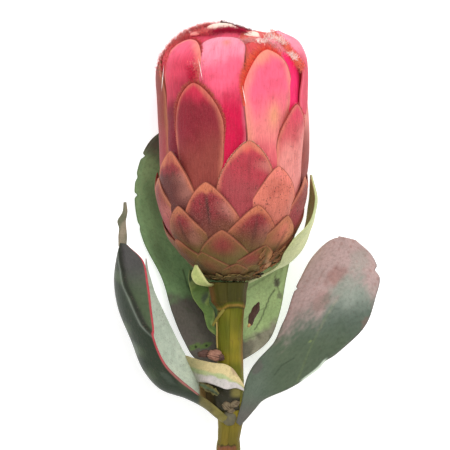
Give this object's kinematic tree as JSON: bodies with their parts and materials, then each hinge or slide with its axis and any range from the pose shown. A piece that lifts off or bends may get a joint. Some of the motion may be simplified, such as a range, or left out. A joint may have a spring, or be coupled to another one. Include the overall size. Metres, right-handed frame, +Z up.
{
  "type": "protea flower",
  "caption": "Cut protea flower with a barrel of overlapping bracts, leathery leaves and a short woody stem, lying on its back leaf.",
  "frame": {"origin": "middle of the flower's footprint box, on the surface that it lies on", "axes": "+Y along the flower from the stem's cut end to the crown, +Z up, +X to the right as seen from above"},
  "size_m": [0.1054, 0.1905, 0.0616],
  "materials": {
    "stem": "green bark",
    "bracts": "satin",
    "florets": "matte",
    "leaf_blue_green": "waxy",
    "leaf_green": "waxy",
    "leaf_pale": "satin",
    "bud_dry": "dry",
    "bud_dark": "dry"
  },
  "bodies": {
    "root": {"stem": "stem", "bloom": "bracts", "florets": "florets", "leaf_left": "leaf_blue_green", "leaf_right": "leaf_blue_green", "leaf_back": "leaf_green", "leaf_cupping": "leaf_pale", "leaf_folded": "leaf_pale", "leaf_strap": "leaf_green", "bud_dry": "bud_dry", "bud_dark": "bud_dark", "bud_low": "bud_dry"}
  },
  "joints": []
}
